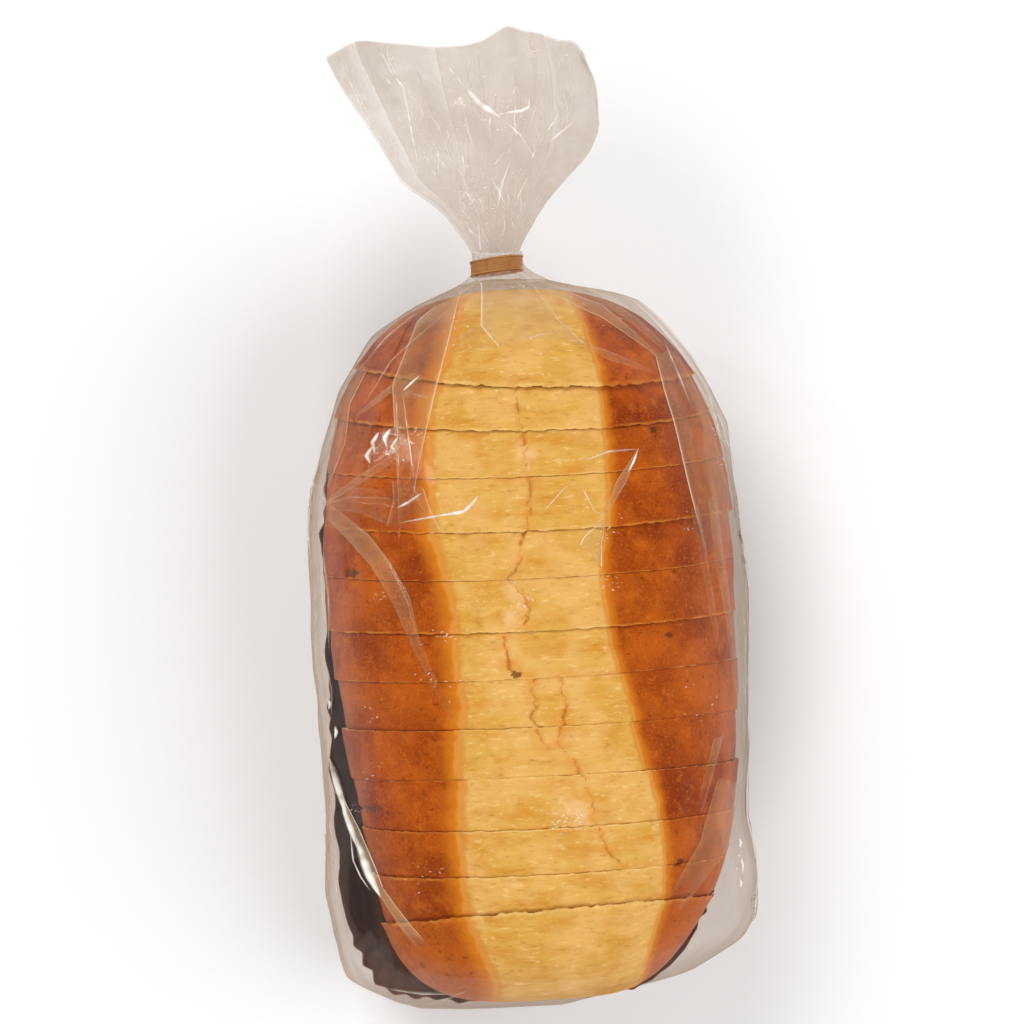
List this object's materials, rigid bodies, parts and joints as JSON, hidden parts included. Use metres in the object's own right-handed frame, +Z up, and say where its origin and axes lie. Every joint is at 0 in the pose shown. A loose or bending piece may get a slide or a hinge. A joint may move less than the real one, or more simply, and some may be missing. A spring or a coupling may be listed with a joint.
{
  "type": "loaf in bread bag",
  "caption": "Sliced oval white loaf in a dark fluted paper baking case, inside a clear film bag gathered and tied at the neck with a kraft paper strip.",
  "frame": {"origin": "on the surface that the bag lies on, under the middle of the whole object's outline", "axes": "+Z up from the loaf's base to its crown, +Y along the loaf from the closed end of the bag through the tied neck to the tail, +X across the loaf to the right when looking down with the neck away"},
  "size_m": [0.137, 0.306, 0.092],
  "materials": {
    "film_over_bread": "gloss",
    "kraft_tie": "matte",
    "clear_film": "gloss",
    "crust": "satin",
    "crumb": "matte",
    "baking_case": "matte"
  },
  "bodies": {
    "root": {"filled_bag": "film_over_bread", "neck_tie": "kraft_tie"}
  },
  "joints": []
}
